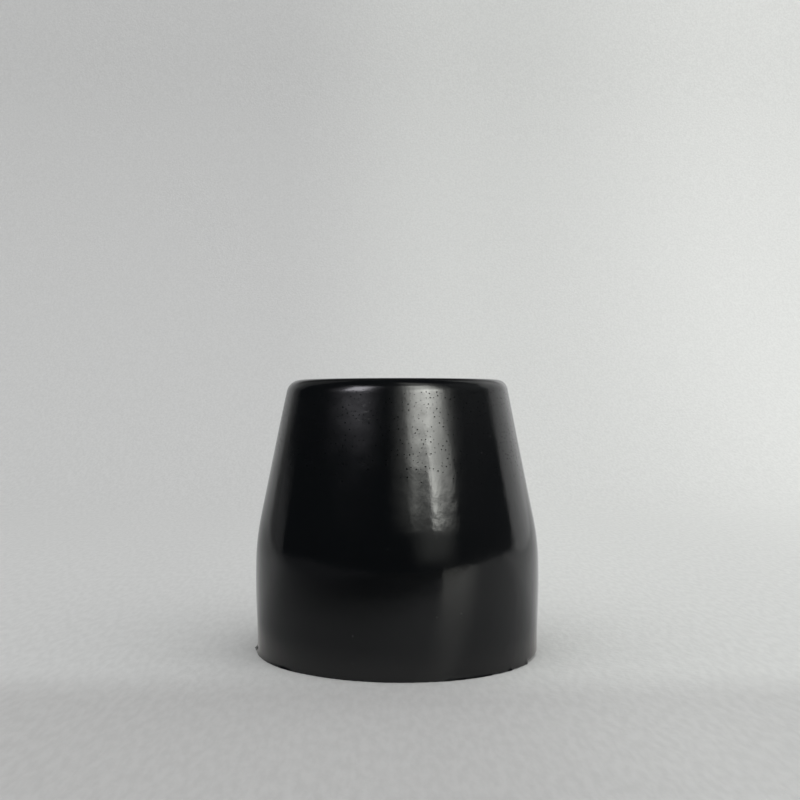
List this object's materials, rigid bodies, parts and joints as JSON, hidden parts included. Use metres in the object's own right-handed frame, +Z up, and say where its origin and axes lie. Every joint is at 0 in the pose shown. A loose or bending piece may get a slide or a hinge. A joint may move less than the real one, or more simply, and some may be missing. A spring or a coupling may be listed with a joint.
{
  "type": "step stool foot tip",
  "caption": "Moulded rubber foot tip for a step stool leg: a tapered cap with a blind socket that presses onto a round tube and a flat sole that grips the floor.",
  "frame": {"origin": "centre of the sole, at the level that the tip stands on", "axes": "+Z up along the tip's axis, out of the socket's mouth; round about +Z"},
  "size_m": [0.042, 0.042, 0.0401],
  "materials": {
    "black_rubber": "satin gloss as moulded, with fine pits and scuffs"
  },
  "bodies": {
    "root": {"foot_tip": "black_rubber"}
  },
  "joints": []
}
